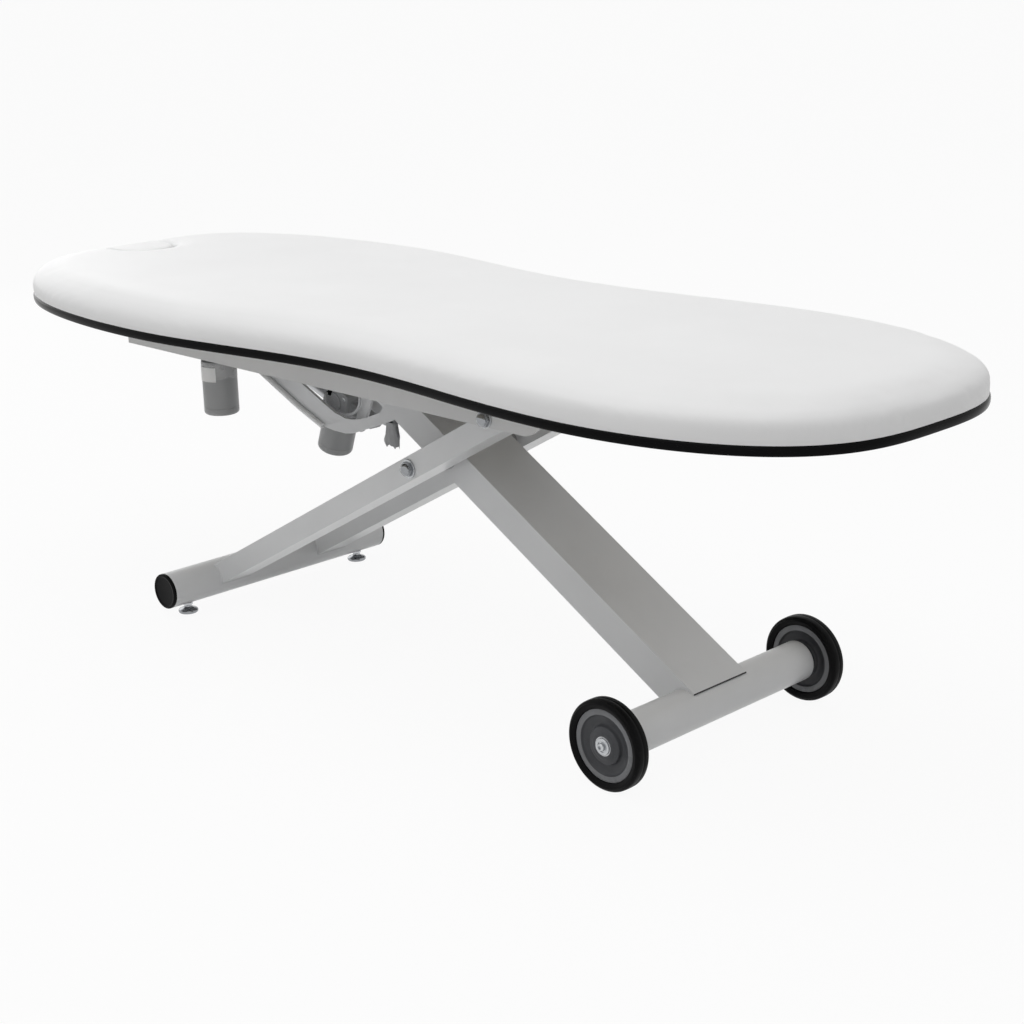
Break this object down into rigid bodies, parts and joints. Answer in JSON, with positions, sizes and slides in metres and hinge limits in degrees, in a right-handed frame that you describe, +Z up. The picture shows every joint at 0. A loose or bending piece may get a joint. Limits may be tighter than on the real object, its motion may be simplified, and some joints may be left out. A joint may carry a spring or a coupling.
{
  "type": "examination couch",
  "caption": "Height-adjustable examination couch: waisted upholstered top with a lift-out face plug on a powered scissor frame with wheels and levelling feet.",
  "frame": {"origin": "on the floor, below the middle of the cushion's length and width", "axes": "+X along the couch towards the foot end and the wheels, +Y to the far side, +Z up"},
  "size_m": [2.05, 0.74, 0.665],
  "materials": {
    "zinc_plate": "zinc plated",
    "frame_paint": "white powder coat, satin",
    "black_plastic": "moulded, satin",
    "bright_steel": "ground",
    "chrome_cap": "polished chrome plate",
    "tyre_rubber": "smooth rubber",
    "rim_plastic": "moulded grey",
    "roller_plastic": "turned",
    "rod_chrome": "hard chrome",
    "lead_pvc": "extruded sheath",
    "gearbox_plastic": "moulded, fine grain",
    "motor_paint": "grey paint, satin",
    "sleeve_aluminium": "anodised",
    "board_wood": "plywood, lacquered",
    "band_gloss": "glossy black edging",
    "white_upholstery": "smooth coated upholstery fabric over foam"
  },
  "bodies": {
    "levelling_feet": {"foot_disc_near": "zinc_plate", "foot_disc_far": "zinc_plate"},
    "outer_leg": {"foot_stems": "zinc_plate", "foot_lock_nuts": "zinc_plate", "front_tube": "frame_paint", "front_caps": "black_plastic", "outer_arm_near": "frame_paint", "outer_arm_far": "frame_paint"},
    "inner_leg": {"box_beam": "frame_paint", "rear_tube": "frame_paint", "stub_axles": "bright_steel", "axle_washers": "zinc_plate", "axle_screws": "zinc_plate", "scissor_shaft": "bright_steel", "scissor_spacers": "black_plastic", "scissor_washers": "zinc_plate", "scissor_caps": "chrome_cap", "slide_shaft": "bright_steel", "lever_plates": "frame_paint", "lever_pin": "bright_steel"},
    "wheel_near": {"tyre_near": "tyre_rubber", "rim_near": "rim_plastic", "bearing_near": "bright_steel"},
    "wheel_far": {"tyre_far": "tyre_rubber", "rim_far": "rim_plastic", "bearing_far": "bright_steel"},
    "slide_rollers": {"slide_rollers": "roller_plastic"},
    "slider_arm": {"slider_plate_near": "frame_paint", "slider_plate_far": "frame_paint", "rear_shaft": "bright_steel", "tilt_rod": "rod_chrome", "drop_rod": "rod_chrome", "lead_peg": "zinc_plate", "lead_hank": "lead_pvc", "lead_plug": "black_plastic"},
    "rear_rollers": {"rear_rollers": "roller_plastic"},
    "tilt_actuator": {"tilt_gearbox": "gearbox_plastic", "tilt_motor": "motor_paint", "tilt_sleeve": "sleeve_aluminium", "tilt_lead": "lead_pvc"},
    "top_frame": {"side_rail_near": "frame_paint", "side_rail_far": "frame_paint", "cross_members": "frame_paint", "guide_plates": "frame_paint", "drop_gearbox": "gearbox_plastic", "drop_motor": "motor_paint", "drop_sleeve": "sleeve_aluminium", "drop_bracket": "frame_paint", "control_box": "black_plastic", "top_bolts": "bright_steel", "top_spacers": "zinc_plate", "top_washers": "zinc_plate", "top_caps": "chrome_cap", "top_nuts": "zinc_plate", "base_board": "board_wood", "edge_band": "band_gloss", "board_screws": "zinc_plate", "pad": "white_upholstery"},
    "face_plug": {"plug_cushion": "white_upholstery", "plug_foot": "board_wood"}
  },
  "joints": [
    {"name": "lift", "type": "hinge", "parent": "levelling_feet", "child": "outer_leg", "pos_m": [-0.548, 0, 0.011], "axis": [0, -1, 0], "range_deg": [-14, 16]},
    {"name": "scissor_pivot", "type": "hinge", "parent": "outer_leg", "child": "inner_leg", "pos_m": [0.068, 0, 0.396], "axis": [0, 1, 0], "range_deg": [-30.5, 34.5]},
    {"name": "top_pivot", "type": "hinge", "parent": "outer_leg", "child": "top_frame", "pos_m": [0.32583, 0, 0.53852], "axis": [0, 1, 0], "range_deg": [-14.5, 16.5]},
    {"name": "slider_pivot", "type": "hinge", "parent": "inner_leg", "child": "slider_arm", "pos_m": [-0.16012, 0, 0.52608], "axis": [0, -1, 0], "range_deg": [-16.5, 18.5]},
    {"name": "lever_pivot", "type": "hinge", "parent": "inner_leg", "child": "tilt_actuator", "pos_m": [-0.21012, 0, 0.40208], "axis": [0, -1, 0], "range_deg": [-16.5, 18.5]},
    {"name": "wheel_near_spin", "type": "hinge", "parent": "inner_leg", "child": "wheel_near", "pos_m": [0.616, -0.2465, 0.075], "axis": [0, 1, 0], "continuous": true},
    {"name": "wheel_far_spin", "type": "hinge", "parent": "inner_leg", "child": "wheel_far", "pos_m": [0.616, 0.2465, 0.075], "axis": [0, 1, 0], "continuous": true},
    {"name": "slide_roller_spin", "type": "hinge", "parent": "inner_leg", "child": "slide_rollers", "pos_m": [-0.16012, 0, 0.52608], "axis": [0, 1, 0], "continuous": true},
    {"name": "rear_roller_spin", "type": "hinge", "parent": "slider_arm", "child": "rear_rollers", "pos_m": [-0.55312, 0, 0.52608], "axis": [0, 1, 0], "continuous": true},
    {"name": "plug_lift", "type": "slide", "parent": "top_frame", "child": "face_plug", "axis": [0, 0, 1], "range_m": [0, 0.08]}
  ],
  "couplings": [
    {"joint": "scissor_pivot", "follows": "lift", "ratio": 2.13},
    {"joint": "top_pivot", "follows": "lift", "ratio": 1},
    {"joint": "slider_pivot", "follows": "lift", "ratio": 1.13},
    {"joint": "lever_pivot", "follows": "lift", "ratio": 1.13}
  ]
}
